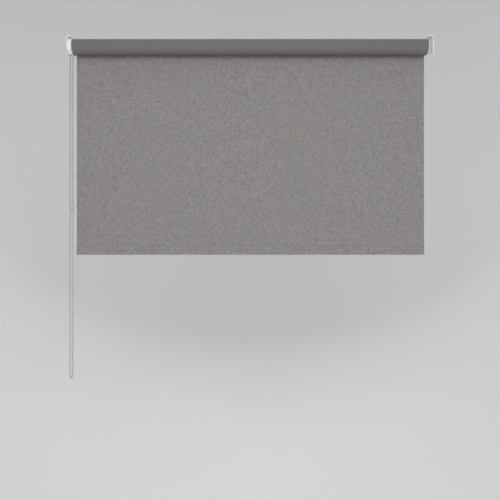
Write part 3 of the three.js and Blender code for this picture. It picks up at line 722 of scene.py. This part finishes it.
class Route:
    """A smooth line through chosen places, measured along its length."""

    reach: ClassVar[float] = 0.2 * MM

    def __init__(self, places: Sequence[Sequence[float]], between: int = 24) -> None:
        """Pass a line through the places.

        Args:
            places: The places, in order.
            between: How many short steps there are from each to the next.
        """
        knots = np.asarray(places, float)
        spans = np.linalg.norm(np.diff(knots, axis=0), axis=1)
        marks = np.concatenate([[0], np.cumsum(spans)])
        slopes = self._slopes(knots, marks)
        dense = [knots[:1]]
        steps = np.linspace(0, 1, between + 1)[1:, None]
        for index, span in enumerate(spans):
            first, second = knots[index], knots[index + 1]
            out, into = slopes[index] * span, slopes[index + 1] * span
            squared, cubed = steps**2, steps**3
            dense.append(
                (2 * cubed - 3 * squared + 1) * first
                + (cubed - 2 * squared + steps) * out
                + (3 * squared - 2 * cubed) * second
                + (cubed - squared) * into
            )
        self.line = np.concatenate(dense)
        self.marks = np.concatenate([[0], np.cumsum(np.linalg.norm(np.diff(self.line, axis=0), axis=1))])
        self.length = float(self.marks[-1])

    @staticmethod
    def _slopes(knots: np.ndarray, marks: np.ndarray) -> np.ndarray:
        """The line's direction at each place, weighted to the nearer neighbour.

        Args:
            knots: The places.
            marks: Their distances along the straight spans between them.

        Returns:
            A direction for each place.
        """
        sides = np.diff(knots, axis=0) / np.diff(marks)[:, None]
        spans = np.diff(marks)[:, None]
        inner = (sides[:-1] * spans[1:] + sides[1:] * spans[:-1]) / (spans[:-1] + spans[1:])
        slopes = np.concatenate([sides[:1], inner, sides[-1:]])
        return slopes / np.linalg.norm(slopes, axis=1)[:, None]

    def at(self, distance: float) -> np.ndarray:
        """The place at that distance along the line."""
        return np.array([np.interp(distance, self.marks, self.line[:, axis]) for axis in range(3)])

    def heading(self, distance: float) -> np.ndarray:
        """The line's direction at that distance."""
        ahead = self.at(distance + self.reach) - self.at(distance - self.reach)
        return ahead / np.linalg.norm(ahead)


def tube_rings(line: np.ndarray, radii: np.ndarray, sides: int) -> np.ndarray:
    """Rings of points around a line.

    Args:
        line: The line's points.
        radii: The tube's radius at each.
        sides: Points in a ring.

    Returns:
        The points, by ring, place and axis.
    """
    ahead = np.gradient(line, axis=0)
    ahead /= np.linalg.norm(ahead, axis=1)[:, None]
    helper = np.eye(3)[np.argmin(np.abs(ahead).max(axis=0))]
    side = np.cross(ahead, helper)
    side /= np.linalg.norm(side, axis=1)[:, None]
    up = np.cross(side, ahead)
    angles = np.arange(sides) * TURN / sides
    wide, tall = np.cos(angles)[None, :, None], np.sin(angles)[None, :, None]
    return line[:, None] + radii[:, None, None] * (wide * side[:, None] - tall * up[:, None])


def roller_axis() -> float:
    """The height of the axis that the roller turns on."""
    return frame["record"]["behaviour"]["joints"][0]["pos_m"][2]


def set_linear_blend(piece: bpy.types.Object, still: float, moved: float, axis: int) -> None:
    """Work out weights that would spread a blended piece's movement evenly along an axis; they are
    computed and not put on the piece.

    Args:
        still: The place along the axis that stays with the first body.
        moved: The place that goes with the second.
        axis: 0 for X, 2 for Z.
    """
    places = np.array([point.co[axis] for point in piece.data.vertices])
    weights = np.clip((places - still) / (moved - still), 0, 1).astype(np.float32)


# ---------------------------------------------------------- Sub-assemblies


@dataclass(frozen=True)
class SoftLight:
    """One rectangle of soft light: where it hangs, what it faces, its size and its watts."""

    name: str
    place: Place
    aim: Place
    size: tuple[float, float]
    power: float

    def build(self) -> None:
        """Hang the light, out of the camera's sight."""
        lamp = bpy.data.lights.new(self.name, "AREA")
        lamp.shape = "RECTANGLE"
        lamp.size, lamp.size_y = self.size
        lamp.energy = self.power
        holder = bpy.data.objects.new(self.name, lamp)
        holder.location = self.place
        holder.rotation_euler = (Vector(self.aim) - Vector(self.place)).to_track_quat("-Z", "Y").to_euler()
        holder.visible_camera = False
        bpy.context.scene.collection.objects.link(holder)


@dataclass
class Studio:
    """The camera, the lights and the round cove of paper."""

    camera_place: Place = (0.0, -1.471, -0.637)
    lens: float = 38.36
    sensor: float = 36.0
    shift_up: float = 0.038
    lights: tuple[SoftLight, ...] = (
        SoftLight("key", (0.0, -2.6, -0.15), (0.0, 0.0, -0.25), (2.4, 1.7), 34),
        SoftLight("rear", (0.0, 2.6, 0.3), (0.0, 0.0, -0.4), (2.4, 1.2), 24),
        SoftLight("overhead", (0.0, 0.0, 2.2), (0.0, 0.0, 0.0), (3.0, 2.0), 10),
    )
    surround: Colour = (0.98, 0.99, 1.0)
    surround_strength: float = 0.43
    floor_drop: float = 1.06
    cove_reach: float = 3.4
    cove_curve: float = 1.9
    cove_top: float = 2.6
    cove_eye: float = 0.02
    cove_steps: int = 17
    cove_sides: int = 96

    def build_camera(self) -> None:
        """Set the camera square on to the blind, below its roll."""
        camera = bpy.data.cameras.new("camera")
        camera.lens = self.lens
        camera.sensor_width = self.sensor
        camera.shift_y = self.shift_up
        camera.dof.use_dof = False
        holder = bpy.data.objects.new("camera", camera)
        holder.location = self.camera_place
        holder.rotation_euler = (math.pi / 2, 0, 0)
        bpy.context.scene.collection.objects.link(holder)
        bpy.context.scene.camera = holder

    def build_lights(self) -> None:
        """Light from the room side, with weaker lights behind and overhead and a pale surround."""
        for light in self.lights:
            light.build()
        world = bpy.data.worlds.new("surround")
        world.use_nodes = True
        background = world.node_tree.nodes["Background"]
        background.inputs["Color"].default_value = (*self.surround, 1.0)
        background.inputs["Strength"].default_value = self.surround_strength
        bpy.context.scene.world = world
        bpy.context.scene.view_settings.view_transform = "Standard"

    def build_cove(self) -> None:
        """Lay the floor and curve it up into a wall all round."""
        floor = CAD_BOX[0].z - self.floor_drop
        flat = self.cove_reach - self.cove_curve
        arc = [
            (flat + self.cove_curve * math.sin(angle), floor + self.cove_curve * (1 - math.cos(angle)))
            for angle in np.linspace(0, math.pi / 2, self.cove_steps)
        ]
        profile = [(self.cove_eye, floor), (flat / 2, floor), *arc, (self.cove_reach, self.cove_top)]
        around = np.arange(self.cove_sides) * TURN / self.cove_sides
        rows = np.array([[(r * math.cos(a), r * math.sin(a), z) for a in around] for r, z in profile])
        shell = Shell()
        start = shell.rings(rows, caps=False)
        shell.face(range(start, start + len(around)))
        cove = shell.piece("studio_cove", [StudioPaper().made("studio_paper")])


@dataclass
class BeadChain:
    """The endless metal bead chain: its free loop, the part in the control unit, and its connector."""

    palette: Palette
    bead: float = 4.5 * MM
    pitch: float = 6 * MM
    pockets: int = 11
    wire: float = 0.5 * MM
    wire_tuck: float = 0.45 * MM
    wire_sides: int = 8
    neck: float = 0.85 * MM
    dimple: float = 0.3 * MM
    sides: int = 14
    bead_rings: int = 9
    wrap_places: int = 25
    wrap_between: int = 6
    path_points: int = 600
    clasp_wall: float = 0.5 * MM
    clasp_clear: float = 0.15 * MM
    clasp_lip: float = 0.45 * MM
    lip_share: float = 0.14
    cup_rise: float = 1.45
    cup_fullness: float = 0.7
    slot_half_angle: float = 0.24
    clasp_rows: int = 29
    clasp_columns: int = 37

    def __post_init__(self) -> None:
        """Take the chain's place from the frame."""
        low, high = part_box("chain_loop")
        self.x = (low.x + high.x) / 2
        self.axis = roller_axis()
        self.radius = self.pitch * self.pockets / TURN
        free = [(self.x, y * MM, self.axis + z * MM) for y, z in CHAIN_ROUTE]
        self.free = Route(free)
        self.wrap = Route(self._wrap_places(free[0], free[-1]), self.wrap_between)

    def _wrap_places(self, front: Place, rear: Place) -> list[Place]:
        """The chain's line inside the control unit, from the rear guide over the wheel to the front one.

        Args:
            front: The free loop's start, in the front guide.
            rear: Its end, in the rear guide.

        Returns:
            The line's places.
        """
        over = [
            (self.x, self.radius * math.cos(angle), self.axis + self.radius * math.sin(angle))
            for angle in np.linspace(0, math.pi, self.wrap_places)
        ]
        rising = (self.x, self.radius, (self.axis + rear[2]) / 2)
        falling = (self.x, -self.radius, (self.axis + front[2]) / 2)
        return [rear, rising, *over, falling, front]

    def _bead_profile(self) -> list[tuple[float, float]]:
        """A bead's outline along the chain: a ball, pinched in where the wire enters it."""
        radius = self.bead / 2
        start = math.asin(self.neck / radius)
        angles = np.linspace(start, math.pi - start, self.bead_rings)
        ball = [(-radius * math.cos(angle), radius * math.sin(angle)) for angle in angles]
        return [(ball[0][0] + self.dimple, self.wire), *ball, (ball[-1][0] - self.dimple, self.wire)]

    def _wire_start(self) -> float:
        """How far from a bead's centre its wire starts."""
        return self.bead / 2 - self.wire_tuck

    def _lay_wire(self, shell: Shell, route: Route, near: float, far: float) -> None:
        """Lay wire along a route, from one distance to another."""
        line = np.array([route.at(d) for d in np.linspace(near, far, 3)])
        shell.rings(tube_rings(line, np.full(3, self.wire), self.wire_sides))

    def _lay(self, shell: Shell, route: Route, stations: np.ndarray) -> None:
        """Thread beads along a line, with a wire from each to the next.

        Args:
            shell: The mesh being made.
            route: The chain's line.
            stations: Each bead's distance along it.
        """
        profile = np.array(self._bead_profile())
        for station in stations:
            ahead = route.heading(station)
            line = route.at(station) + profile[:, :1] * ahead
            shell.rings(tube_rings(line, profile[:, 1], self.sides))
        half = self._wire_start()
        for first, second in zip(stations[:-1], stations[1:]):
            self._lay_wire(shell, route, first + half, second - half)

    def _stations(self) -> tuple[np.ndarray, np.ndarray]:
        """Where the beads sit, in step with the wheel's pockets.

        Returns:
            The distances along the wrap's line and along the free loop's.
        """
        guide = -CHAIN_ROUTE[0][1] * MM
        whole = self.wrap.length
        on_wrap = np.arange(guide % self.pitch, whole, self.pitch)
        first = on_wrap[-1] + self.pitch - whole
        last = self.free.length - (self.pitch - on_wrap[0])
        count = round((last - first) / self.pitch)
        return on_wrap, np.linspace(first, last, count + 1)

    def build(self) -> None:
        on_wrap, on_free = self._stations()
        metal = self.palette.of("chain_metal")
        inner = Shell()
        self._lay(inner, self.wrap, on_wrap)
        wrap = inner.piece("bead_chain_on_wheel", [metal])
        loose = Shell()
        self._lay(loose, self.free, on_free)
        self._lay_ends(loose, on_free)
        loop = loose.piece("bead_chain_loop", [metal])
        connector = self._connector(metal)
        for made, node in ((wrap, "chain_wrap"), (loop, "chain_loop"), (connector, "chain_connector")):
            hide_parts(node)
        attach(wrap, "brackets")
        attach(loop, "brackets")
        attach(connector, "connector")
        self.free.at(0)
        [self.free.at(d).tolist() for d in np.linspace(0, self.free.length, self.path_points)]
        LOG.info("bead chain: %d beads, free loop %.3f m", len(on_wrap) + len(on_free), self.free.length)

    def _lay_ends(self, shell: Shell, stations: np.ndarray) -> None:
        """Carry the wire on from the loop's first and last beads to the guides' mouths.

        Args:
            shell: The mesh being made.
            stations: The beads' distances along the free loop.
        """
        half = self._wire_start()
        for near, far in ((0, stations[0] - half), (stations[-1] + half, self.free.length)):
            if far - near > self.wire:
                self._lay_wire(shell, self.free, near, far)

    def _connector(self, metal: bpy.types.Material) -> bpy.types.Object:
        """The pressed clasp that closes the chain: two slotted cups with a waist between them.

        Args:
            metal: Its material.

        Returns:
            The clasp, round the rear run.
        """
        low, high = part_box("chain_connector")
        centre = (low + high) / 2
        outer = (high.x - low.x) / 2
        half = (high.z - low.z) / 2
        waist = self.bead / 2 + self.clasp_clear + self.clasp_wall
        heights = np.linspace(-half, half, self.clasp_rows)
        share = np.abs(heights) / half
        swell = np.sin(np.clip(share * self.cup_rise, 0, 1) * math.pi / 2) ** self.cup_fullness
        mouth = np.clip((share - 1 + self.lip_share) / self.lip_share, 0, 1) ** 2
        radii = waist + (outer - waist) * swell - self.clasp_lip * mouth
        angles = np.linspace(self.slot_half_angle, TURN - self.slot_half_angle, self.clasp_columns)
        angles = angles + math.pi
        rows = []
        for height, radius in zip(heights, radii):
            inner = radius - self.clasp_wall
            outside = [(radius * math.cos(a), radius * math.sin(a), height) for a in angles]
            inside = [(inner * math.cos(a), inner * math.sin(a), height) for a in angles[::-1]]
            rows.append(outside + inside)
        shell = Shell()
        shell.folded(np.array(rows) + np.array(centre))
        return shell.piece("chain_clasp", [metal])


@dataclass
class WoundCloth:
    """The cloth on the tube: one long spiral whose outside is the coated side."""

    palette: Palette
    turns: float = 4.0
    skin: float = 0.42 * MM
    per_turn: int = 72
    scarf: float = 25.0  # degrees over which each end thins
    thinnest: float = 0.06
    gap: float = 0.02 * MM
    rim: float = 2 * MM
    stations: int = 11

    def __post_init__(self) -> None:
        """Take the roll's place from the frame."""
        low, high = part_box("fabric_roll")
        tube_low, tube_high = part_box("roller_tube")
        self.start, self.end = low.x, high.x
        self.axis = roller_axis()
        self.outer = (high.z - low.z) / 2
        self.inner = (tube_high.z - tube_low.z) / 2 + self.gap

    def spiral(self, end: float) -> tuple[np.ndarray, np.ndarray, np.ndarray]:
        """The spiral's angle and its two radii, from the tube outwards.

        Args:
            end: The angle above the rear tangent at which it ends, in degrees.

        Returns:
            Angles from +Y in radians, and the inner and outer radius at each.
        """
        wound = np.linspace(0, self.turns, int(self.turns * self.per_turn) + 1)
        angles = math.radians(end) + (self.turns - wound) * TURN
        rise = (self.outer - self.skin - self.inner) / self.turns
        inside = self.inner + rise * wound
        thin = np.clip((self.turns - wound) * 360 / self.scarf, self.thinnest, 1)
        first = np.clip(wound * 360 / self.scarf, self.thinnest, 1)
        return angles, inside, inside + self.skin * np.minimum(thin, first)

    def build(self, leave: float) -> None:
        """Build the roll and let it turn with the roller.

        Args:
            leave: The angle above the rear tangent at which its outer end starts to thin.
        """
        angles, inside, outside = self.spiral(leave - self.scarf)
        middle = np.linspace(self.start + self.rim, self.end - self.rim, self.stations)
        low, top = (
            np.stack([radii * np.cos(angles), self.axis + radii * np.sin(angles)], axis=1)
            for radii in (inside, outside)
        )
        outline = np.concatenate([low, top[::-1]])
        rows = [
            np.column_stack([np.full(len(outline), x), outline])
            for x in (self.start, *middle, self.end)
        ]
        shell = Shell()
        shell.folded(np.array(rows), slots=(1, 1))
        roll = shell.piece("wound_cloth", [self.palette.of("fabric_reverse"), self.palette.cut_edge])
        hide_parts("fabric_roll")
        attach(roll, "roller")
        LOG.info("wound cloth: %.1f turns, %.3f m wide", self.turns, self.end - self.start)


@dataclass
class HangingCloth:
    """The cloth between the roll and the hem, room side textured and window side coated."""

    palette: Palette
    roll: WoundCloth
    leave: float = 48.0  # degrees above the rear tangent at which it parts from the roll
    wave: float = 0.35 * MM
    ripples: tuple[tuple[float, float, float, float], ...] = (
        (0.55, 66 * MM, 0.8, 2.4),
        (0.45, 31 * MM, 2.1, -3.1),
    )  # each one's share, length, start and drift down the cloth
    edge_curl: float = 0.9 * MM
    edge_reach: float = 9 * MM
    edge_inset: float = 4 * MM
    edge_rim: float = 0.3 * MM
    clear: float = 0.03 * MM
    tuck: float = 0.25 * MM
    thinnest: float = 0.04
    fullness: float = 0.8
    columns: int = 150
    rows: int = 96
    arc_rows: int = 15

    def __post_init__(self) -> None:
        """Take the cloth's place from the frame."""
        self.low, self.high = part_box("fabric_drop")
        self.hem_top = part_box("hem_pocket")[1].z

    def _profile(self) -> tuple[np.ndarray, np.ndarray]:
        """The cloth's two faces seen from its edge, from the top of the roll's rear down.

        Returns:
            The outer and the inner face's y and z, row by row.
        """
        axis = self.roll.axis
        angles = np.radians(np.linspace(self.leave, 0, self.arc_rows)[:-1])
        share = 1 - angles / math.radians(self.leave)
        ease = share**2
        scarf = np.clip(share * self.leave / self.roll.scarf, self.thinnest, 1)
        inner = self.roll.outer + self.clear + (self.low.y - self.roll.outer - self.clear) * ease
        outer = inner + (self.high.y - self.low.y) * scarf
        heights = np.linspace(axis, self.hem_top - self.tuck, self.rows)
        faces = []
        for radii, y in ((outer, self.high.y), (inner, self.low.y)):
            arc = np.stack([radii * np.cos(angles), axis + radii * np.sin(angles)], axis=1)
            fall = np.stack([np.full(self.rows, y), heights], axis=1)
            faces.append(np.concatenate([arc, fall]))
        return faces[0], faces[1]

    def _billow(self, x: np.ndarray, z: float) -> np.ndarray:
        """How far the cloth stands back from its flat plane.

        Args:
            x: Places along the cloth's width.
            z: The height.

        Returns:
            The distance at each place, in metres.
        """
        drop = self.roll.axis - self.hem_top
        share = np.clip((self.roll.axis - z) / drop, 0, 1)
        slack = math.sin(math.pi * share) ** self.fullness
        soft = sum(
            part * np.sin(x / long + start + drift * share) for part, long, start, drift in self.ripples
        )
        edge = np.minimum(x - self.low.x, self.high.x - x)
        curl = self.edge_curl * np.exp(-edge / self.edge_reach)
        return slack * (self.wave * soft + curl)

    def _columns(self) -> np.ndarray:
        """The places of the cloth's columns along its width, closer at its edges."""
        start, end = self.low.x, self.high.x
        middle = np.linspace(start + self.edge_inset, end - self.edge_inset, self.columns)
        return np.concatenate([[start, start + self.edge_rim], middle, [end - self.edge_rim, end]])

    def build(self) -> bpy.types.Object:
        """Build the cloth and hang it between the roll and the hem.

        Returns:
            The cloth.
        """
        outer, inner = self._profile()
        x = self._columns()
        rings = []
        for back, front in zip(outer, inner):
            shift = self._billow(x, back[1])
            behind = np.stack([x, back[0] + shift, np.full_like(x, back[1])], axis=1)
            before = np.stack([x, front[0] + shift, np.full_like(x, front[1])], axis=1)
            rings.append(np.concatenate([behind, before[::-1]]))
        shell = Shell()
        shell.folded(np.array(rings), slots=(1, 2))
        across = len(x)
        around = [1] * (across - 1) + [2] + [0] * (across - 1) + [2]
        shell.slots[: len(around) * (len(rings) - 1)] = around * (len(rings) - 1)
        cloth = shell.piece("hanging_cloth", [
            self.palette.of("fabric_face"), self.palette.of("fabric_reverse"), self.palette.cut_edge,
        ], smooth=50)
        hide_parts("fabric_drop")
        top, bottom = self.roll.axis, self.hem_top
        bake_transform(cloth)
        set_linear_blend(cloth, top, bottom, axis=2)
        LOG.info("hanging cloth: %d by %d points", across, len(rings))
        return cloth


@dataclass
class HemPocket:
    """The cloth folded up behind and welded, with the flat bar inside."""

    palette: Palette
    cloth: float = 0.48 * MM
    squareness: float = 4.5
    weld_below: float = 2.6 * MM
    weld_depth: float = 0.22 * MM
    weld_width: float = 0.7 * MM
    pucker: float = 0.12 * MM
    pucker_room: float = 1.6  # the share of the pucker that the skin is drawn in by
    pucker_reach: float = 4 * MM
    pucker_waves: tuple[Place, ...] = ((1.0, 8.7 * MM, 0.0), (0.6, 4.3 * MM, 1.0))
    lining_gap: float = 0.05 * MM
    stations: int = 161
    around: int = 72

    def __post_init__(self) -> None:
        """Take the pocket's place from the frame, and work out its rounded outline."""
        self.low, self.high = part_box("hem_pocket")
        self.centre = (self.low + self.high) / 2
        self.half = (self.high - self.low) / 2
        angles = np.arange(self.around) * TURN / self.around + math.pi / self.around
        power = 2 / self.squareness
        self.wide, self.tall = (
            np.sign(side) * np.abs(side) ** power for side in (np.cos(angles), np.sin(angles))
        )

    def _skin(self, x: float) -> np.ndarray:
        """The pocket's outside at one place along it, puckered by its welded line.

        Args:
            x: The place.

        Returns:
            The ring's points.
        """
        waves = sum(part * math.sin(x / long + start) for part, long, start in self.pucker_waves)
        z = self.centre.z + self.half.z * self.tall
        below = (self.high.z - z) - self.weld_below
        groove = self.weld_depth * np.exp(-((below / self.weld_width) ** 2))
        ripple = self.pucker * waves * np.exp(-np.abs(below) / self.pucker_reach)
        deep = self.half.y - groove - self.pucker * self.pucker_room + ripple
        return np.column_stack([np.full_like(z, x), self.centre.y + self.wide * deep, z])

    def _lining(self, x: float) -> np.ndarray:
        """The pocket's inside at one place along it, smooth and running the other way round."""
        z = self.centre.z + (self.half.z - self.cloth) * self.tall
        deep = self.half.y - self.cloth - self.pucker * self.pucker_room - self.lining_gap
        return np.column_stack([np.full_like(z, x), self.centre.y + self.wide * deep, z])[::-1]

    def build(self) -> bpy.types.Object:
        """Build the pocket and let it ride with the hem.

        Returns:
            The pocket.
        """
        places = np.linspace(self.low.x, self.high.x, self.stations)
        shell = Shell()
        skin = shell.rings(np.array([self._skin(x) for x in places]), caps=False)
        lining = shell.rings(np.array([self._lining(x) for x in places]), caps=False)
        last = (self.stations - 1) * self.around
        for place in range(self.around):
            following = (place + 1) % self.around
            mate, next_mate = self.around - 1 - place, self.around - 1 - following
            shell.face((skin + following, skin + place, lining + mate, lining + next_mate), 1)
            ends = (skin + place, skin + following, lining + next_mate, lining + mate)
            shell.face([corner + last for corner in ends], 1)
        materials = [self.palette.of("fabric_face"), self.palette.cut_edge]
        pocket = shell.piece("hem_pocket_cloth", materials, smooth=60)
        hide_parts("hem_pocket")
        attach(pocket, "hem")
        LOG.info("hem pocket: %.0f mm high", (self.high.z - self.low.z) / MM)
        return pocket


@dataclass
class CoilSpring:
    """The light spring that pushes the idle pin out, which shortens as the pin goes in."""

    palette: Palette
    turns: float = 8.0
    dead_turns: float = 1.5  # the flat ones, half of them at each end
    dead_rise: float = 0.05
    wire: float = 0.3 * MM
    per_turn: int = 28
    sides: int = 10

    def build(self) -> None:
        """Build the coil between its seat and the pin's collar."""
        low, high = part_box("pin_spring")
        centre_z = (low.z + high.z) / 2
        radius = (high.z - low.z) / 2 - self.wire
        whole, closed = self.turns + self.dead_turns, self.dead_turns / 2
        wound = np.linspace(0, whole, int(whole * self.per_turn))
        marks = [0, closed, whole - closed, whole]
        rise = np.interp(wound, marks, [0, self.dead_rise, 1 - self.dead_rise, 1])
        x = low.x + self.wire + (high.x - low.x - 2 * self.wire) * rise
        angles = wound * TURN
        line = np.stack([x, radius * np.cos(angles), centre_z + radius * np.sin(angles)], axis=1)
        shell = Shell()
        shell.rings(tube_rings(line, np.full(len(line), self.wire), self.sides))
        spring = shell.piece("idle_pin_spring", [self.palette.of("spring_steel")])
        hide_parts("pin_spring")
        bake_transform(spring)
        set_linear_blend(spring, low.x, high.x, axis=0)
        LOG.info("idle pin spring: %.0f turns", self.turns)


@dataclass
class RigidPieces:
    """The frame's own rigid pieces, each with its finish and eased edges."""

    palette: Palette
    eased: float = 0.16 * MM
    rounding: int = 2
    sharpest: float = 32.0  # degrees between faces from which an edge is eased
    seam: float = 0.002 * MM
    flatness: float = 0.4  # degrees between faces that are merged into one

    ease_by_node: ClassVar[dict[str, float]] = {
        "control_housing": 0.19 * MM,
        "chain_guard": 0.12 * MM,
        "idle_plug": 0.19 * MM,
        "spindle_clip": 0.12 * MM,
        "wrap_spring_outer": 0.0,
        "wrap_spring_inner": 0.0,
        "fixing_tape": 0.0,
        "chain_wheel": 0.0,
        "spindle_screw": 0.12 * MM,
    }

    def dress(self, name: str, node: bpy.types.Object, slot: str) -> None:
        """Give one of the frame's pieces its finish and eased edges.

        Args:
            name: The piece's name.
            node: Its object, which stays where it is.
            slot: The record's slot that it is finished as.
        """
        node.data.materials.clear()
        node.data.materials.append(self.palette.of(slot))
        node.data.polygons.foreach_set("use_smooth", [True] * len(node.data.polygons))
        weld = node.modifiers.new("weld", "WELD")
        weld.merge_threshold = self.seam
        flat = node.modifiers.new("flat_faces", "DECIMATE")
        flat.decimate_type = "DISSOLVE"
        flat.angle_limit = math.radians(self.flatness)
        width = self.ease_by_node.get(name, self.eased)
        if width > 0:
            ease = node.modifiers.new("eased_edges", "BEVEL")
            ease.width = width
            ease.segments = self.rounding
            ease.use_clamp_overlap = False
            ease.limit_method = "ANGLE"
            ease.angle_limit = math.radians(self.sharpest)
        node.modifiers.new("even_shading", "WEIGHTED_NORMAL")

    def build(self) -> None:
        """Dress every piece of the frame that still shows."""
        slots = {part["node"]: part["material_slot"] for part in frame["record"]["subparts"]}
        for name, node in frame["nodes"].items():
            if not node.hide_render:
                self.dress(name, node, slots[name])
                LOG.info("dressed %s as %s", name, slots[name])


def main() -> None:
    """Build the blind piece by piece."""
    logging.basicConfig(level=logging.INFO, format="%(name)s: %(message)s")
    studio = Studio()
    studio.build_camera()
    palette = Palette()
    BeadChain(palette).build()
    roll = WoundCloth(palette)
    hanging = HangingCloth(palette, roll)
    roll.build(hanging.leave)
    cloth = hanging.build()
    pocket = HemPocket(palette).build()
    CoilSpring(palette).build()
    RigidPieces(palette).build()
    studio.build_lights()
    studio.build_cove()


if __name__ == "__main__":
    main()
